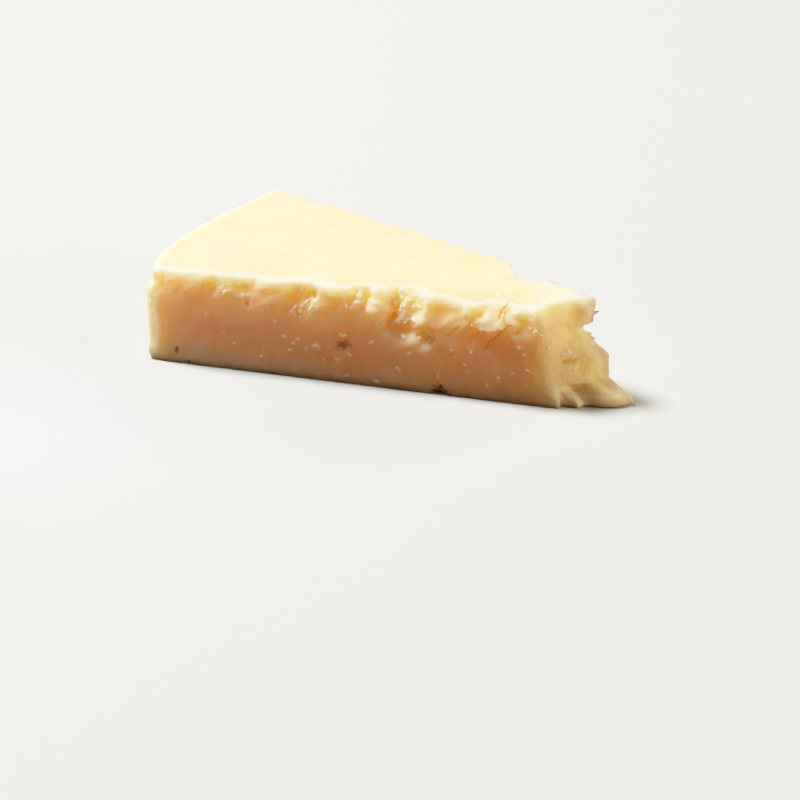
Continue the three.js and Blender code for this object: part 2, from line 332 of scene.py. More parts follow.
BACK_CRYSTAL_HEIGHTS = (2, 20)
BACK_CRYSTAL_WIDTHS = (0.8, 1.7)

# Fineness: faces that rest stay whole, others are halved, uprights and rims again, fine relief once more
MERGE = 0.01 * MM
RESTS_BELOW = -0.7
LEVEL_ABOVE = 0.9
BACK_RIM_DEEP = 4
BEFORE_RIDGE = 6
FINE_DEEP = 10
FINE_TOP_DEEP = 5.5
FINE_BEFORE_RIDGE = 4
FINE_DEPTH = 0.08
FINE_ROUGHNESS = 0.2

# How much the solid's facets are smoothed before the relief goes on, and where
CRISP_BELOW = 3
CRISP_CORNER = 4
SMOOTHING_ROUNDS = 7
SMOOTHING = 0.5
RIM_TALL = 3
RIM_DEEP = 8
RIM_ROUNDS = 20
RIM_NORMALS = (0.35, 0.8)
RIDGE_REACH = 15
RIDGE_DEEP = 9
RIDGE_HEIGHTS = (2, 31)
RIDGE_ROUNDS = 240
WORN_FROM = 119.5
WORN_TALL = 8
WORN_ROUNDS = 24

# Grain of the paste: lumps and granules where it has crumbled, streaks down the cut faces
LUMP_SIZE = 5
LUMP_OCTAVES = 3
LUMP_DEPTH = 0.8
LUMP_MEAN = 0.55
GRANULE_SIZE = 1.7
GRANULE_DEPTH = 0.25
GRANULE_REACH = 0.8
GRANULE_MEAN = 0.5
BREAK_ROUGH = 0.4
BREAK_SWELL = 0.8
BREAK_SWELL_SIZE = 6
SWELL_FROM = (0.5, 4)
STREAK_DEPTH = 0.1
STREAKS_ALONG = 0.9
STREAKS_UP = 0.05
STREAK_LAYER = 3
GRAIN_DEPTH = 0.06
GRAIN_SIZE = 1.1

# Relief of the rind: dimples, waves, wrinkles and pits, a groove by the front corner and a step beyond it
RIND_DIMPLES = 0.15
RIND_DIMPLE_SIZE = 3.5
RIND_WAVES = 0.5
RIND_WAVE_SIZE = 14
RIND_WRINKLES = 0.22
RIND_WRINKLE_SIZE = 7
RIND_WRINKLE_FLATNESS = 2.2
RIND_WRINKLE_EDGE = (0.8, 1)
RIND_PITS = 0.35
RIND_PIT_SPACING = 3.4
RIND_PIT_EDGE = (0.08, 0.22)
RIND_GROOVE = 1
RIND_GROOVE_FLOOR = (26.2, 27)
RIND_GROOVE_ROOF = (28.4, 30.4)
RIND_STEP = 0.9
RIND_STEP_HEIGHTS = (24, 28)
RIND_STEP_REACH = (6, 26)
RIND_WAVE_LIFT = 2
RIND_WAVE_ASIDE = 6

# Wear of the upright corners at the rind, and a painted highlight that makes them paler
CORNER_WEAR = 0.22
CORNER_WEAR_SIZE = 2.6
CORNER_REACH = (3, 5.5)
# How much paler the corners at the rind are: a painted highlight
CORNER_PAINTED_HIGHLIGHT = 0.5

# The upper front leans back, more steeply towards the broken end
FRONT_SLANTS = (1.5, 2.2)
SLANT_STARTS = (16, 8)
SLANT_END = 42
SLANT_STEEPENS = (60, 110)
SLANT_FADE = (0, 8)

# The worn front rim has dropped near the broken end
RIM_DROP = 1.6
DROP_STARTS = (94, 106)
DROP_ENDS = (124, 136)
DROP_RISES = (26, 34)
DROP_DEEP = (4, 13)

# The foot of the broken end is raised a little, so that it ends bluntly
FOOT_BLUNT = 2
FOOT_THIN = (3, 10)
FOOT_RISE = (0, 1.4)
FOOT_FADE = (3, 9)
FOOT_TALL = 8
FOOT_ROUNDS = 24
FOOT_EDGE_ROUNDS = 10
FOOT_FRONT = Vector((68.3, -11.5))
FOOT_RUN = Vector((10.5, 13.2))
FOOT_SHIFTS = (-2.5, 2.9)
FOOT_SHIFT_REACH = 0.65
FOOT_CORNER = 2.2

# Distances over which a place takes on a colour of its own or painted light, and what dulls the glow of the
# paste
# Hollows take a deeper yellow, partly as denser paste and partly as a painted glow for light that shines
# into shaded hollows
HOLLOW_GLOW_DEPTHS = (0.5, 3.2)
# Pits are darkened by painted shade as they deepen
PIT_SHADE_DEPTHS = (0.2, 0.9)
# Cracks are darkened by painted shade as they deepen
CRACK_SHADE_DEPTHS = (0.1, 0.9)
# Places that stand out take the paler crumbled colour as a painted highlight
RAISED_HIGHLIGHT_HEIGHTS = (0.3, 1.5)
RIND_CLEAR = (3, 9)
# The rim of the top is paler, partly as the paste's own drier rim and partly as a painted highlight along
# the rounded edge. It reaches further down the broken end.
RIM_PALE_AND_HIGHLIGHT_FROM = 0.5
BREAK_RIM_PALE_AND_HIGHLIGHT_TALL = 9
GLOW = 0.9
FLAKE_DULLS = 0.35
CRYSTAL_DULLS = 0.5
THIN_DULLS = 0.6
PIT_DULLS = 0.85

# Patterns in the paste's colour, on a scale of millimetres; streaks on the top are drawn out and turned
Pattern = namedtuple("Pattern", "scale detail roughness")
MOTTLE = Pattern(0.07, 4, 0.6)
CLOTS = Pattern(0.22, 3, 0.55)
STREAKS = Pattern(1, 4, 0.6)
FLECKS = Pattern(0.9, 3, 0.6)
GRAIN = Pattern(2.5, 4, 0.65)
STREAK_SCALES = (0.24, 0.6, 0.6)
STREAK_ANGLE = math.radians(25)
SPECK_CELLS = 0.2
SPECK_EDGE = (0.06, 0.18)
SPECK_PLACES = (0.5, 0.56)
MOTTLE_SPREAD = (0.36, 0.64)
CLOT_SPREAD = (0.38, 0.62)
STREAK_SPREAD = (0.5, 0.72)
STREAK_SHARE = 0.6
FLECK_SPREAD = (0.4, 0.7)
FLECK_SHARE = 0.35

# Colours of the cheese, some with painted light in them; a pair is mottled from its first to its second
SIDE_COLOURS = ((0.96, 0.73, 0.43, 1), (0.96, 0.77, 0.48, 1))
# The top is coloured darker than the cut faces: painted shade that holds back the strong light on it
TOP_COLOURS_WITH_PAINTED_SHADE = ((0.93, 0.64, 0.38, 1), (0.95, 0.72, 0.48, 1))
BROKEN_COLOURS = ((0.97, 0.76, 0.45, 1), (0.98, 0.83, 0.57, 1))
RIND_COLOURS = ((0.8, 0.6, 0.35, 1), (0.9, 0.76, 0.54, 1))
STREAK_COLOUR = (0.96, 0.8, 0.61, 1)
FLECK_COLOUR = (0.95, 0.82, 0.62, 1)
# Deeper yellow of hollows: partly denser paste, partly a painted glow of the shaded hollows
HOLLOW_COLOUR_AND_PAINTED_GLOW = (0.98, 0.75, 0.44, 1)
# Paler colour of crumbled paste, also laid on places that stand out as a painted highlight
CRUMBLE_AND_HIGHLIGHT_COLOUR = (0.97, 0.83, 0.6, 1)
CRUMBLE_AND_HIGHLIGHT_SHARE = 0.6
# Pale rim: partly the paste's own colour, partly a painted highlight along the edges and corners
RIM_PALE_AND_HIGHLIGHT_COLOUR = (0.96, 0.85, 0.66, 1)
SPECK_COLOUR = (0.98, 0.93, 0.82, 1)
# Painted shade in pits
PIT_PAINTED_SHADE_COLOUR = (0.72, 0.58, 0.27, 1)
# Painted shade in cracks
CRACK_PAINTED_SHADE_COLOUR = (0.94, 0.66, 0.3, 1)
FLAKE_COLOUR = (0.99, 0.91, 0.67, 1)
CRYSTAL_COLOUR = (1, 0.85, 0.73, 1)

# Finish of the paste: its sheen, its fine grain, and how far light travels in it
SHEEN = 0.35
ROUGHNESSES = (0.48, 0.62)
ROUGHNESS_SPREAD = (0.3, 0.7)
GRAIN_BUMP = 0.45
GRAIN_BUMP_HIGH = 0.2 * MM
GLOW_RADII = (1, 0.61, 0.34)
GLOW_REACH = 24 * MM


def smoothstep(low, high, value):
    share = min(max((value - low) / (high - low), 0), 1)
    return share * share * (3 - 2 * share)


def mix(low, high, share):
    return low + (high - low) * share


# The wedge's form

def cut_place(cut, point):
    """Distance along a cut face and depth in from it, of a point in millimetres."""
    offset = point.xy - cut.corner
    return offset.dot(cut.along), offset.dot(cut.inward)


def top_height(point):
    """Height of the top over a point, in millimetres."""
    return mix(HEIGHT_AT_RIND, HEIGHT_AT_TIP, smoothstep(*HEIGHT_RISES, point.x))


def past_ridge(point):
    """How far a point lies beyond the upright ridge between the front face and the broken end."""
    along, _ = cut_place(FRONT_CUT, point)
    return along - mix(RIDGE_AT_BASE, RIDGE_AT_TOP, point.z / HEIGHT_AT_TIP)


def foot_lift(point):
    """How far the foot of the broken end is raised, in millimetres."""
    beyond = smoothstep(0, SIDE_SOFTNESS, past_ridge(point))
    return FOOT_BLUNT * beyond * smoothstep(*FOOT_RISE, point.z) * (1 - smoothstep(*FOOT_FADE, point.z))


def foot_shift(point):
    """How far the foot of the broken end stands out: less at its front corner and more at its far end."""
    beyond = smoothstep(0, FOOT_CORNER, past_ridge(point))
    share = (point.xy - FOOT_FRONT).dot(FOOT_RUN) / FOOT_RUN.length_squared
    out = mix(*FOOT_SHIFTS, smoothstep(0, FOOT_SHIFT_REACH, share))
    return out * beyond * (1 - smoothstep(0, FOOT_TALL, point.z))


# Marks

def lumps(point):
    """Rounded lumps with creases between them, and granules on them, about -1 to 1."""
    large = noise.turbulence(point / LUMP_SIZE, LUMP_OCTAVES, True, noise_basis="PERLIN_ORIGINAL")
    to_granule = noise.voronoi(point / GRANULE_SIZE)[0][0]
    granule = smoothstep(0, GRANULE_REACH, to_granule) - GRANULE_MEAN
    return LUMP_DEPTH * (LUMP_MEAN - large) + GRANULE_DEPTH * granule


def patch_roughness(patches, along, up):
    rough = 0
    for patch in patches:
        reach = math.hypot((along - patch.along) / patch.wide, (up - patch.up) / patch.tall)
        rough = max(rough, patch.rough * (1 - smoothstep(*PATCH_FADE, reach)))
    return rough


def hollow_depth(hollow, along, up):
    along -= hollow.lean * (up - hollow.floor)
    if not (hollow.left < along < hollow.right and hollow.floor < up < hollow.roof):
        return 0
    left, right, floor, roof = hollow.soft
    across = smoothstep(0, left, along - hollow.left) * smoothstep(0, right, hollow.right - along)
    upward = smoothstep(0, floor, up - hollow.floor) * smoothstep(0, roof, hollow.roof - up)
    return hollow.deep * across * upward


def pit_depth(pit, along, up):
    """Depth of a pit, which is oval, or a star with the given number of points."""
    side = (along - pit.along) / pit.wide
    rise = (up - pit.up) / pit.tall
    reach = 2 * math.hypot(side, rise)
    if reach > PIT_REACH:
        return 0
    lobe = 1 + PIT_LOBES * math.cos(pit.points * math.atan2(rise, side)) if pit.points else 1
    return pit.deep * (1 - smoothstep(PIT_FLOOR * lobe, lobe, reach))


def crack_depth(crack, along, up):
    """Depth of a crack, whose points run from right to left."""
    if not crack.points[-1][0] - CRACK_MARGIN < along < crack.points[0][0] + CRACK_MARGIN:
        return 0
    place = Vector((along, up))
    nearest = crack.wide
    for start, end in zip(crack.points, crack.points[1:]):
        first = Vector(start)
        run = Vector(end) - first
        share = min(max((place - first).dot(run) / run.length_squared, 0), 1)
        nearest = min(nearest, (place - first - run * share).length)
    return crack.deep * (1 - smoothstep(0, crack.wide / 2, nearest))


def chip_share(chip, along, up):
    """How far a chip stands out at a place: it rises from its upper left, so that it faces the light."""
    side = along - chip.along
    rise = up - chip.up
    if max(abs(side), abs(rise)) > chip.long:
        return 0
    lean = math.radians(chip.lean)
    length = (side * math.cos(lean) + rise * math.sin(lean)) * 2 / chip.long
    width = (rise * math.cos(lean) - side * math.sin(lean)) * 2 / chip.wide
    inside = 1 - smoothstep(*CHIP_FADE, math.hypot(length, width))
    facing = side * CHIP_FACING[0] + rise * CHIP_FACING[1]
    return inside * (CHIP_MEAN + CHIP_TILT * facing / chip.wide)


def crystal_share(crystal, along, up):
    reach = math.hypot(along - crystal.along, up - crystal.up) * 2 / crystal.wide
    return 1 - smoothstep(*CRYSTAL_FADE, reach)


Carving = namedtuple("Carving", "depth pitted cracked crumbled flaked crystals")


def carve(marks, along, up, point):
    """What a face's marks do at a place on it: how deep they go, how much of that is pits and cracks, and
    how crumbled, flaked and full of crystals it is there."""
    for reach, size in MARK_WANDERS:
        wander = noise.noise_vector(point / size) * reach
        along += wander.x
        up += wander.z
    depth = max(hollow_depth(hollow, along, up) for hollow in marks.hollows)
    depth -= max((hollow_depth(swell, along, up) for swell in marks.swells), default=0)
    pitted = sum(pit_depth(pit, along, up) for pit in marks.pits)
    cracked = max((crack_depth(crack, along, up) for crack in marks.cracks), default=0)
    chip = max((chip_share(chip, along, up) for chip in marks.chips), default=0)
    crystal = max((crystal_share(crystal, along, up) for crystal in marks.crystals), default=0)
    depth += pitted + cracked - max(CHIP_HIGH * chip, CRYSTAL_HIGH * crystal)
    flaked = smoothstep(*CHIP_SHOWS, chip)
    crumbled = patch_roughness(marks.patches, along, up)
    return Carving(depth, pitted, cracked, crumbled, flaked, crystal)


def small_chips(patches, seed):
    """Small flakes over crumbled patches, as many on each as it is rough."""
    draw = random.Random(seed)
    return [
        Chip(
            patch.along + draw.uniform(*OVER_PATCH) * patch.wide,
            patch.up + draw.uniform(*OVER_PATCH) * patch.tall,
            draw.uniform(*SMALL_CHIP_LENGTHS),
            draw.uniform(*SMALL_CHIP_WIDTHS),
            draw.uniform(*CHIP_LEANS),
        )
        for patch in patches
        for _ in range(round(SMALL_CHIP_COUNT * patch.rough))
    ]


def back_chip(draw, patch):
    return Chip(
        patch.along + draw.uniform(*OVER_PATCH) * patch.wide,
        patch.up + draw.uniform(*BACK_CHIPS_UP) * patch.tall,
        draw.uniform(*BACK_CHIP_LENGTHS),
        draw.uniform(*BACK_CHIP_WIDTHS),
        draw.uniform(*CHIP_LEANS),
    )


def back_crystal(draw, patch):
    return Crystal(
        patch.along + draw.uniform(*BACK_CRYSTAL_ASIDE),
        draw.uniform(*BACK_CRYSTAL_HEIGHTS),
        draw.uniform(*BACK_CRYSTAL_WIDTHS),
    )


def back_hollow(draw, patch):
    crisp = draw.uniform(*BACK_CRISP_EDGES)
    soft = draw.uniform(*BACK_SOFT_EDGES)
    deep = draw.uniform(*BACK_DEPTHS)
    left = patch.along - patch.wide / 3
    right = patch.along + patch.wide / 4
    floor = patch.up - patch.tall / 4
    return Hollow(left, right, floor, OPEN, deep, (soft, crisp, crisp, BACK_ROOF_EDGE))


def back_pit(draw, patch):
    up = draw.uniform(*BACK_PIT_HEIGHTS)
    along = patch.along + draw.uniform(*BACK_PIT_ASIDE)
    wide = draw.uniform(*BACK_PIT_WIDTHS)
    return Pit(along, up, wide, draw.uniform(*BACK_PIT_TALLS), BACK_PIT_DEEP, BACK_PIT_POINTS)


def spread_marks(count, seed, reach):
    """Marks for a face that isn't seen, of the kinds that the front face has."""
    draw = random.Random(seed)
    marks = Marks([], [], [], [], [], [], [])
    for i in range(count):
        patch = Patch(
            reach * (i + draw.uniform(*BACK_SPACING)) / count,
            draw.uniform(*BACK_PATCH_HEIGHTS),
            draw.uniform(*BACK_PATCH_WIDTHS),
            draw.uniform(*BACK_PATCH_TALLS),
            draw.uniform(*BACK_ROUGHNESSES),
        )
        marks.patches.append(patch)
        marks.hollows.append(back_hollow(draw, patch))
        marks.pits.append(back_pit(draw, patch))
        marks.chips.extend(back_chip(draw, patch) for _ in range(BACK_CHIPS_EACH))
        marks.crystals.extend(back_crystal(draw, patch) for _ in range(BACK_CRYSTALS_EACH))
    return marks


BACK = spread_marks(BACK_PATCH_COUNT, BACK_SEED, BACK_REACH)
FRONT.chips.extend(small_chips(FRONT_CRUMBLED, FRONT_SEED))


# Surface

Spot = namedtuple(
    "Spot", "point side top base front back rind broken inward front_along back_along depth to_rim to_corner"
)


def spot_of(vertex, rim):
    """Where a point of the surface lies: its share of each side, its place on the cut faces, and how far
    it is from the rim of the top and from the upright corners at the rind."""
    point = vertex.co / MM
    front_along, front_depth = cut_place(FRONT_CUT, point)
    back_along, back_depth = cut_place(BACK_CUT, point)
    below_top = top_height(point) - point.z
    top = smoothstep(*TOP_NORMALS, vertex.normal.z) * (1 - smoothstep(*TOP_BAND, below_top))
    base = smoothstep(*BASE_NORMALS, -vertex.normal.z)
    rind = smoothstep(0, SIDE_SOFTNESS, point.xy.dot(RIND_OUT) - RIND_START)
    past = past_ridge(point) + BREAK_EARLY + RIDGE_WANDER * noise.noise(point / RIDGE_WANDER)
    beyond = smoothstep(-SIDE_SOFTNESS, SIDE_SOFTNESS, past)
    broken = (1 - rind) * beyond * smoothstep(*BACK_CLEAR, back_depth)
    front = max(0, 1 - rind - broken) if front_depth < back_depth else 0
    back = max(0, 1 - rind - broken - front)
    inward = FRONT_CUT.inward * front + BACK_CUT.inward * back + END_INWARD * broken - RIND_OUT * rind
    _, _, to_rim = rim.find(vertex.co)
    return Spot(
        point=point,
        side=max(0, 1 - top - base),
        top=top,
        base=base,
        front=front,
        back=back,
        rind=rind,
        broken=broken,
        inward=Vector((*inward, 0)),
        front_along=front_along,
        back_along=back_along,
        depth=front_depth if front > back else back_depth,
        to_rim=to_rim / MM,
        to_corner=min(front_along + abs(front_depth), back_along + abs(back_depth)),
    )


def carving_at(spot):
    """What the marks of the face that a spot lies on do there, fading out over the rim."""
    carving = Carving(0, 0, 0, 0, 0, 0)
    if spot.front + spot.broken > 0:
        carving = carve(FRONT, spot.front_along, spot.point.z, spot.point)
        torn = BREAK_ROUGH * spot.broken * smoothstep(*SWELL_FROM, spot.point.z)
        carving = carving._replace(crumbled=max(carving.crumbled, torn))
    elif spot.back > 0:
        carving = carve(BACK, spot.back_along, spot.point.z, spot.point)
    reach = RIM_FADE + RIM_FADE_BY_DEPTH * max(carving.depth, 0)
    near_rim = (spot.side + spot.top * (1 - smoothstep(0, reach, spot.to_rim))) * (1 - spot.rind)
    return Carving(*(share * near_rim for share in carving))


def front_slant(spot):
    """How far the front leans back at a spot, more steeply towards the broken end."""
    share = smoothstep(*SLANT_STEEPENS, spot.front_along)
    lean = mix(*FRONT_SLANTS, share) * smoothstep(mix(*SLANT_STARTS, share), SLANT_END, spot.point.z)
    return lean * spot.front * (1 - spot.top * smoothstep(*SLANT_FADE, spot.to_rim))


def rim_drop(spot):
    """How far the worn front rim has dropped at a spot."""
    along, depth = cut_place(FRONT_CUT, spot.point)
    worn = smoothstep(*DROP_STARTS, along) * (1 - smoothstep(*DROP_ENDS, along))
    return RIM_DROP * worn * smoothstep(*DROP_RISES, spot.point.z) * (1 - smoothstep(*DROP_DEEP, depth))


def rind_relief(point):
    """Depth of the rind's wrinkles and pits, of the step under its upper band, which ends some way from
    the front corner, and of the groove there."""
    from_corner = point.y - FRONT_CUT.corner.y
    dimple = noise.noise(point / RIND_DIMPLE_SIZE)
    wave = noise.noise(point / RIND_WAVE_SIZE)
    flattened = Vector((point.x, point.y, point.z * RIND_WRINKLE_FLATNESS))
    wrinkle = 1 - abs(noise.noise(flattened / RIND_WRINKLE_SIZE))
    to_pit = noise.voronoi(point / RIND_PIT_SPACING)[0][0]
    depth = RIND_DIMPLES * dimple + RIND_WAVES * wave
    depth += RIND_WRINKLES * smoothstep(*RIND_WRINKLE_EDGE, wrinkle)
    depth += RIND_PITS * (1 - smoothstep(*RIND_PIT_EDGE, to_pit))
    height = point.z + dimple + RIND_WAVE_LIFT * wave
    at_corner = 1 - smoothstep(*RIND_STEP_REACH, from_corner + RIND_WAVE_ASIDE * wave)
    groove = smoothstep(*RIND_GROOVE_FLOOR, height) * (1 - smoothstep(*RIND_GROOVE_ROOF, height))
    below = 1 - smoothstep(*RIND_STEP_HEIGHTS, height)
    return depth + RIND_GROOVE * groove * at_corner + RIND_STEP * below * (1 - at_corner)


def corner_share(spot):
    """1 at the upright corners at the rind, and 0 some way from them."""
    return 1 - smoothstep(*CORNER_REACH, spot.to_corner)


def relief(spot, carving):
    """How far the surface goes in along its own normal."""
    point = spot.point
    rough = GRAIN_DEPTH * noise.noise(point / GRAIN_SIZE)
    if carving.crumbled > 0:
        rough += carving.crumbled * lumps(point)
    swell = BREAK_SWELL * smoothstep(*SWELL_FROM, point.z)
    rough += swell * spot.broken * spot.side * noise.noise(point / BREAK_SWELL_SIZE)
    streak = noise.noise(Vector((spot.front_along * STREAKS_ALONG, point.z * STREAKS_UP, STREAK_LAYER)))
    rough += spot.side * (spot.front + spot.back) * STREAK_DEPTH * streak
    if spot.rind > 0:
        rough += spot.side * spot.rind * rind_relief(point)
    rough += CORNER_WEAR * corner_share(spot) * noise.noise(point / CORNER_WEAR_SIZE)
    return rough


def refine(paste, wanted):
    """Halves the edges of the faces that are wanted."""
    edges = list(dict.fromkeys(edge for face in paste.faces if wanted(face) for edge in face.edges))
    bmesh.ops.subdivide_edges(paste, edges=edges, cuts=1, use_grid_fill=True)
    bmesh.ops.triangulate(paste, faces=[face for face in paste.faces if len(face.verts) > 3])
    paste.normal_update()


def rests(face):
    return face.normal.z < RESTS_BELOW


def stands(face):
    return not rests(face)


def is_upright_or_rim(face):
    point = face.calc_center_median() / MM
    _, front_depth = cut_place(FRONT_CUT, point)
    _, back_depth = cut_place(BACK_CUT, point)
    if rests(face):
        return False
    at_edge = front_depth < RIM_DEEP or back_depth < BACK_RIM_DEEP or past_ridge(point) > -BEFORE_RIDGE
    return face.normal.z < LEVEL_ABOVE or at_edge


def shows_fine_relief(face):
    point = face.calc_center_median() / MM
    along, front_depth = cut_place(FRONT_CUT, point)
    deep_in_top = face.normal.z > LEVEL_ABOVE and front_depth > FINE_TOP_DEEP
    if rests(face) or front_depth > FINE_DEEP or deep_in_top:
        return False
    if past_ridge(point) > -FINE_BEFORE_RIDGE:
        return True
    carving = carve(FRONT, along, point.z, point)
    return abs(carving.depth) > FINE_DEPTH or carving.crumbled > FINE_ROUGHNESS


def soften(paste, wanted, rounds):
    """Smooths the points that are wanted, as many times as rounds says."""
    verts = [vertex for vertex in paste.verts if wanted(vertex)]
    for _ in range(rounds):
        bmesh.ops.smooth_vert(
            paste, verts=verts, factor=SMOOTHING, use_axis_x=True, use_axis_y=True, use_axis_z=True
        )


def at_rind_corner(vertex):
    point = vertex.co / MM
    front_along, front_depth = cut_place(FRONT_CUT, point)
    back_along, back_depth = cut_place(BACK_CUT, point)
    return min(front_along + front_depth, back_along + back_depth) < CRISP_CORNER


def is_soft(vertex):
    return vertex.co.z > CRISP_BELOW * MM and not at_rind_corner(vertex)


def near_rim(vertex):
    point = vertex.co / MM
    _, front_depth = cut_place(FRONT_CUT, point)
    at_rim = top_height(point) - point.z < RIM_TALL and front_depth < RIM_DEEP
    return at_rim and not at_rind_corner(vertex)


def near_ridge(vertex):
    point = vertex.co / MM
    _, front_depth = cut_place(FRONT_CUT, point)
    low, high = RIDGE_HEIGHTS
    return abs(past_ridge(point)) < RIDGE_REACH and front_depth < RIDGE_DEEP and low < point.z < high


def near_worn_rim(vertex):
    point = vertex.co / MM
    along, front_depth = cut_place(FRONT_CUT, point)
    return along > WORN_FROM and front_depth < RIM_DEEP and top_height(point) - point.z < WORN_TALL


def on_foot(vertex):
    point = vertex.co / MM
    return past_ridge(point) > 0 and point.z < FOOT_TALL


def above_foot_edge(vertex):
    return on_foot(vertex) and vertex.co.z > MERGE


def on_foot_edge(vertex):
    return on_foot(vertex) and vertex.co.z <= MERGE


def on_rim(vertex):
    low, high = RIM_NORMALS
    point = vertex.co / MM
    return low < vertex.normal.z < high and top_height(point) - point.z < RIM_TALL


def find_rim(paste):
    """The points along the edge of the top, for finding the nearest."""
    found = [vertex.co for vertex in paste.verts if on_rim(vertex)]
    rim = KDTree(len(found))
    for index, place in enumerate(found):
        rim.insert(place, index)
    rim.balance()
    return rim


def pull_wisps(paste):
    """Draws thin flakes out of the edge of the broken end that the camera sees against the floor."""
    right = Vector((math.cos(AZIMUTH), math.sin(AZIMUTH), 0))
    for wisp in WISPS:
        level = [v.co for v in paste.verts if abs(v.co.z / MM - wisp.up) < WISP_LEVEL]
        root = max(level, key=right.dot).copy()
        pull = (right * wisp.long + Vector((0, 0, wisp.rise))) * MM
        for vertex in paste.verts:
            vertex.co += pull * (1 - smoothstep(0, wisp.wide, (vertex.co - root).length / MM))


Tints = namedtuple("Tints", "top hollow pitted rim rind broken cracked crumbled flaked crystals glow")


def tints_of(spot, carving):
    """The shares by which the material colours a spot, with painted glow, shade and highlight among them."""
    inner = spot.side * (spot.front + spot.back)
    # Depth in from the cut face, by which hollows take their painted glow
    recess_for_painted_glow = spot.depth + carving.depth + min(carving.depth, 0)
    # Painted shade in pits, by their depth; this share also dulls the glow there
    pitted = smoothstep(*PIT_SHADE_DEPTHS, carving.pitted)
    # Pale rim with a painted highlight along it, and a painted highlight on the corners at the rind
    rim_reach = mix(RIM_TALL, BREAK_RIM_PALE_AND_HIGHLIGHT_TALL, spot.broken)
    edge = max(1 - smoothstep(RIM_PALE_AND_HIGHLIGHT_FROM, rim_reach, spot.to_rim), CORNER_PAINTED_HIGHLIGHT * corner_share(spot))
    beyond = smoothstep(0, SIDE_SOFTNESS, past_ridge(spot.point))
    thin = beyond * (1 - smoothstep(*FOOT_THIN, spot.point.z))
    dull = (1 - FLAKE_DULLS * carving.flaked) * (1 - CRYSTAL_DULLS * carving.crystals)
    return Tints(
        top=spot.top,
        # Hollows: partly denser paste, partly a painted glow of shade
        hollow=smoothstep(*HOLLOW_GLOW_DEPTHS, recess_for_painted_glow) * inner,
        pitted=pitted,
        rim=edge * (1 - spot.base),
        rind=spot.rind * spot.side * smoothstep(*RIND_CLEAR, spot.to_corner),
        broken=spot.broken * spot.side,
        # Painted shade in cracks, by their depth
        cracked=smoothstep(*CRACK_SHADE_DEPTHS, carving.cracked),
        # Crumbled patches are paler in their own right; places that stand out are made paler as a painted
        # highlight
        crumbled=max(carving.crumbled, smoothstep(*RAISED_HIGHLIGHT_HEIGHTS, -carving.depth)),
        flaked=carving.flaked,
        crystals=carving.crystals,
        glow=GLOW * dull * (1 - THIN_DULLS * thin) * (1 - PIT_DULLS * pitted),
    )


def shift(spot, carving, normal):
    """How far a point of the surface moves, in metres."""
    move = spot.inward * (carving.depth + front_slant(spot)) - normal * relief(spot, carving)
    move.z += foot_lift(spot.point) - rim_drop(spot)
    outward = Vector((*END_INWARD, 0)) * -foot_shift(spot.point)
    return (move * (1 - spot.base) + outward) * MM


def shape_paste():
    """The solid's surface, made finer, with its facets smoothed and the relief of the cheese on it."""
    noise.seed_set(WANDER_SEED)
    paste = bmesh.new()
    paste.from_mesh(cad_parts[WEDGE].data)
    bmesh.ops.remove_doubles(paste, verts=paste.verts, dist=MERGE)
    paste.normal_update()
    refine(paste, stands)
    refine(paste, is_upright_or_rim)
    soften(paste, is_soft, SMOOTHING_ROUNDS)
    soften(paste, near_rim, RIM_ROUNDS)
    soften(paste, near_ridge, RIDGE_ROUNDS)
    soften(paste, near_worn_rim, WORN_ROUNDS)
    soften(paste, above_foot_edge, FOOT_ROUNDS)
    soften(paste, on_foot_edge, FOOT_EDGE_ROUNDS)
    paste.normal_update()
    refine(paste, shows_fine_relief)
    rim = find_rim(paste)
    layers = [paste.verts.layers.float.new(name) for name in Tints._fields]
    moves = []
    for vertex in paste.verts:
        spot = spot_of(vertex, rim)
        carving = carving_at(spot)
        for layer, share in zip(layers, tints_of(spot, carving)):
            vertex[layer] = share
        moves.append(shift(spot, carving, vertex.normal))
    for vertex, move in zip(paste.verts, moves):
        vertex.co += move
        vertex.co.z = max(vertex.co.z, 0)
    pull_wisps(paste)
    paste.normal_update()
    return paste


# Materials

def place_node(tree, kind, inputs=None, **settings):
    """Adds a node. Inputs give its sockets values, or other nodes' outputs to link."""
    made = tree.nodes.new(kind)
    for name, value in settings.items():
        setattr(made, name, value)
    for name, value in (inputs or {}).items():
        if isinstance(value, bpy.types.NodeSocket):
            tree.links.new(value, made.inputs[name])
        else:
            made.inputs[name].default_value = value
    return made


def blend_colours(tree, share, first, second):
    """A colour from the first to the second by a share; colours and share may be values or outputs. The
    node's sockets go by number, because their names repeat."""
    made = place_node(tree, "ShaderNodeMix", data_type="RGBA")
    for index, value in ((0, share), (6, first), (7, second)):
        if isinstance(value, bpy.types.NodeSocket):
            tree.links.new(value, made.inputs[index])
        else:
            made.inputs[index].default_value = value
    return made.outputs[2]


def remap(tree, value, spread, low, high):
    """A value that goes from low to high as another goes over a spread."""
    start, end = spread
    made = place_node(
        tree,
        "ShaderNodeMapRange",
        {"Value": value, "From Min": start, "From Max": end, "To Min": low, "To Max": high},
    )
    return made.outputs["Result"]


def pattern_node(tree, at, pattern):
    """The strength of a noise pattern at a place."""
    inputs = {"Vector": at, "Scale": pattern.scale, "Detail": pattern.detail, "Roughness": pattern.roughness}
    return place_node(tree, "ShaderNodeTexNoise", inputs).outputs["Fac"]


def new_material(name):
    material = bpy.data.materials.new(name)
    material.use_nodes = True
    tree = material.node_tree
    tree.nodes.clear()
    output = tree.nodes.new("ShaderNodeOutputMaterial")
    shader = tree.nodes.new("ShaderNodeBsdfPrincipled")
    tree.links.new(shader.outputs["BSDF"], output.inputs["Surface"])
    return material, tree, shader


def attribute(tree, name):
    return place_node(tree, "ShaderNodeAttribute", attribute_name=name).outputs["Fac"]


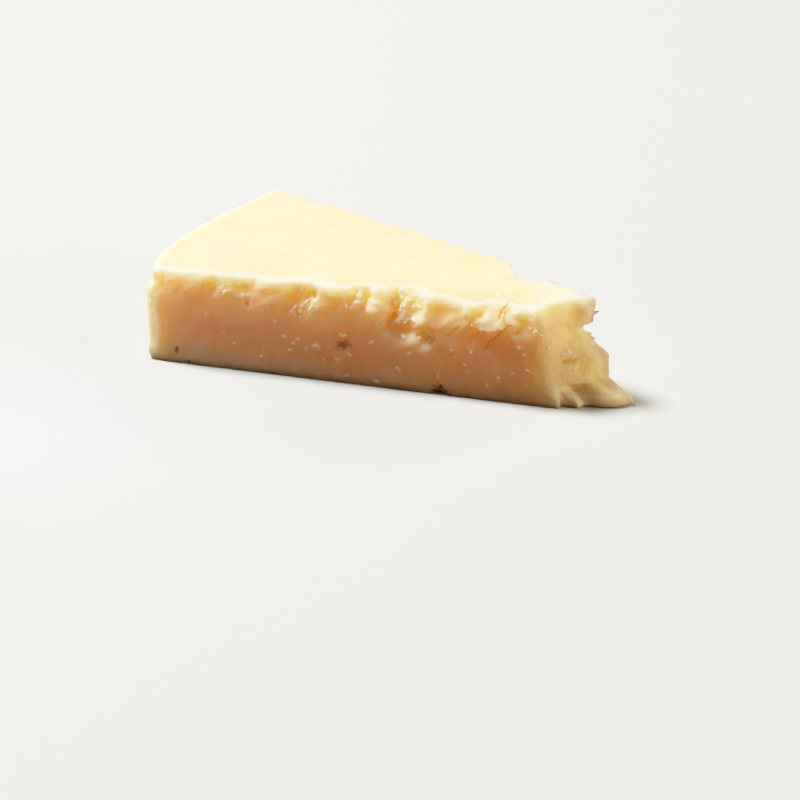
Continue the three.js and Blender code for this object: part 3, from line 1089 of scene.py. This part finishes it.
def curd_grain_group():
    """Mottling, clots, streaks, flecks, pale specks and fine grain of the paste."""
    group = bpy.data.node_groups.new("curd grain", "ShaderNodeTree")
    coordinates = place_node(group, "ShaderNodeTexCoord").outputs["Object"]
    per_metre = (1 / MM, 1 / MM, 1 / MM)
    millimetres = place_node(group, "ShaderNodeMapping", {"Vector": coordinates, "Scale": per_metre})
    at = millimetres.outputs["Vector"]
    turned = place_node(group, "ShaderNodeMapping", {"Vector": at, "Rotation": (0, 0, -STREAK_ANGLE)})
    drawn_out = place_node(
        group, "ShaderNodeMapping", {"Vector": turned.outputs["Vector"], "Scale": STREAK_SCALES}
    )
    clots = pattern_node(group, at, CLOTS)
    cells = place_node(group, "ShaderNodeTexVoronoi", {"Vector": at, "Scale": SPECK_CELLS})
    spots = remap(group, cells.outputs["Distance"], SPECK_EDGE, 1, 0)
    some = remap(group, clots, SPECK_PLACES, 0, 1)
    specks = place_node(group, "ShaderNodeMath", {0: spots, 1: some}, operation="MULTIPLY")
    outputs = {
        "Mottle": pattern_node(group, at, MOTTLE),
        "Clots": clots,
        "Streaks": pattern_node(group, drawn_out.outputs["Vector"], STREAKS),
        "Flecks": pattern_node(group, at, FLECKS),
        "Specks": specks.outputs["Value"],
        "Height": pattern_node(group, at, GRAIN),
    }
    for name in outputs:
        group.interface.new_socket(name, in_out="OUTPUT", socket_type="NodeSocketFloat")
    place_node(group, "NodeGroupOutput", outputs)
    return group


def paste_colour(tree, grain):
    """The colour of the cheese: its faces, then each kind of mark over them, with painted glow, shade and
    highlight among the marks.
    """
    mottle = remap(tree, grain.outputs["Mottle"], MOTTLE_SPREAD, 0, 1)
    clots = remap(tree, grain.outputs["Clots"], CLOT_SPREAD, 0, 1)
    streaks = remap(tree, grain.outputs["Streaks"], STREAK_SPREAD, 0, STREAK_SHARE)
    flecks = remap(tree, grain.outputs["Flecks"], FLECK_SPREAD, 0, FLECK_SHARE)
    crumbled = remap(tree, attribute(tree, "crumbled"), (0, 1), 0, CRUMBLE_AND_HIGHLIGHT_SHARE)
    # The top, darker by painted shade against the strong light on it
    top_colour_with_painted_shade = blend_colours(tree, mottle, *TOP_COLOURS_WITH_PAINTED_SHADE)
    coats = [
        (attribute(tree, "top"), blend_colours(tree, streaks, top_colour_with_painted_shade, STREAK_COLOUR)),
        (flecks, FLECK_COLOUR),
        # Hollows: partly denser paste, partly a painted glow of shade
        (attribute(tree, "hollow"), HOLLOW_COLOUR_AND_PAINTED_GLOW),
        (attribute(tree, "broken"), blend_colours(tree, clots, *BROKEN_COLOURS)),
        # Crumbled paste's own paleness, and a painted highlight on places that stand out
        (crumbled, CRUMBLE_AND_HIGHLIGHT_COLOUR),
        # The rim's own paleness, with a painted highlight along the edges and corners
        (attribute(tree, "rim"), RIM_PALE_AND_HIGHLIGHT_COLOUR),
        (attribute(tree, "rind"), blend_colours(tree, clots, *RIND_COLOURS)),
        (grain.outputs["Specks"], SPECK_COLOUR),
        # Painted shade in pits
        (attribute(tree, "pitted"), PIT_PAINTED_SHADE_COLOUR),
        # Painted shade in cracks
        (attribute(tree, "cracked"), CRACK_PAINTED_SHADE_COLOUR),
        (attribute(tree, "flaked"), FLAKE_COLOUR),
        (attribute(tree, "crystals"), CRYSTAL_COLOUR),
    ]
    colour = blend_colours(tree, mottle, *SIDE_COLOURS)
    for share, coat in coats:
        colour = blend_colours(tree, share, colour, coat)
    return colour


def paste_material(grain_group):
    material, tree, shader = new_material("cheese paste")
    grain = place_node(tree, "ShaderNodeGroup", node_tree=grain_group)
    roughness = remap(tree, grain.outputs["Flecks"], ROUGHNESS_SPREAD, *ROUGHNESSES)
    bump = place_node(
        tree,
        "ShaderNodeBump",
        {"Height": grain.outputs["Height"], "Strength": GRAIN_BUMP, "Distance": GRAIN_BUMP_HIGH},
    )
    tree.links.new(paste_colour(tree, grain), shader.inputs["Base Color"])
    tree.links.new(roughness, shader.inputs["Roughness"])
    tree.links.new(bump.outputs["Normal"], shader.inputs["Normal"])
    tree.links.new(attribute(tree, "glow"), shader.inputs["Subsurface Weight"])
    shader.inputs["Subsurface Radius"].default_value = GLOW_RADII
    shader.inputs["Subsurface Scale"].default_value = GLOW_REACH
    shader.inputs["Specular IOR Level"].default_value = SHEEN
    return material


# Pieces

def add_object(name, shape, material):
    mesh = bpy.data.meshes.new(name)
    shape.to_mesh(mesh)
    shape.free()
    mesh.materials.append(material)
    made = bpy.data.objects.new(name, mesh)
    bpy.context.scene.collection.objects.link(made)
    return made


def add_wedge():
    wedge = add_object("wedge", shape_paste(), paste_material(curd_grain_group()))
    wedge.data.shade_smooth()
    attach(wedge, "root")
    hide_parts(WEDGE)


# Stage

def add_camera():
    camera = bpy.data.objects.new("camera", bpy.data.cameras.new("camera"))
    camera.data.lens = LENS
    camera.data.sensor_width = SENSOR
    back = Vector(
        (
            math.sin(AZIMUTH) * math.cos(ELEVATION),
            -math.cos(AZIMUTH) * math.cos(ELEVATION),
            math.sin(ELEVATION),
        )
    )
    camera.location = LOOK_AT + back * CAMERA_DISTANCE
    camera.rotation_mode = "QUATERNION"
    camera.rotation_quaternion = (-back).to_track_quat("-Z", "Y")
    bpy.context.scene.collection.objects.link(camera)
    bpy.context.scene.camera = camera


def add_light(light):
    lamp = bpy.data.lights.new(light.name, "AREA")
    lamp.shape = "DISK"
    lamp.size = light.size
    lamp.energy = light.power
    lamp.color = light.colour
    made = bpy.data.objects.new(light.name, lamp)
    made.location = light.comes_from.normalized() * light.distance
    made.rotation_mode = "QUATERNION"
    made.rotation_quaternion = (-light.comes_from).to_track_quat("-Z", "Y")
    made.visible_camera = False
    bpy.context.scene.collection.objects.link(made)


def add_world():
    """A pale backdrop for the camera, and a weak warm fill for the cheese."""
    world = bpy.data.worlds.new("studio")
    bpy.context.scene.world = world
    world.use_nodes = True
    tree = world.node_tree
    tree.nodes.clear()
    seen = place_node(tree, "ShaderNodeBackground", {"Color": (*BACKDROP_COLOUR, 1), "Strength": 1})
    fill = place_node(tree, "ShaderNodeBackground", {"Color": (*FILL_COLOUR, 1), "Strength": FILL_STRENGTH})
    path = place_node(tree, "ShaderNodeLightPath")
    shown = place_node(tree, "ShaderNodeMixShader", {"Fac": path.outputs["Is Camera Ray"]})
    tree.links.new(fill.outputs[0], shown.inputs[1])
    tree.links.new(seen.outputs[0], shown.inputs[2])
    output = tree.nodes.new("ShaderNodeOutputWorld")
    tree.links.new(shown.outputs[0], output.inputs["Surface"])


def set_film_curve():
    """Plain colours with a soft shoulder, so that strong light passes into white as on film."""
    settings = bpy.context.scene.view_settings
    settings.view_transform = "Standard"
    settings.use_curve_mapping = True
    curve = settings.curve_mapping
    curve.white_level = (FILM_WHITE, FILM_WHITE, FILM_WHITE)
    shoulder = curve.curves[COMBINED_CURVE]
    for light, shown in FILM_SHOULDER:
        shoulder.points.new(light / FILM_WHITE, shown)
    curve.update()


def add_floor():
    material, tree, shader = new_material("pale floor")
    path = place_node(tree, "ShaderNodeLightPath")
    colour = blend_colours(tree, path.outputs["Is Camera Ray"], FLOOR_BOUNCE, FLOOR_COLOUR)
    tree.links.new(colour, shader.inputs["Base Color"])
    shader.inputs["Roughness"].default_value = FLOOR_ROUGHNESS
    shape = bmesh.new()
    bmesh.ops.create_grid(shape, x_segments=1, y_segments=1, size=FLOOR_SIZE / 2)
    floor = add_object("floor", shape, material)


add_camera()
for light in LIGHTS:
    add_light(light)
add_world()
add_floor()
set_film_curve()
add_wedge()
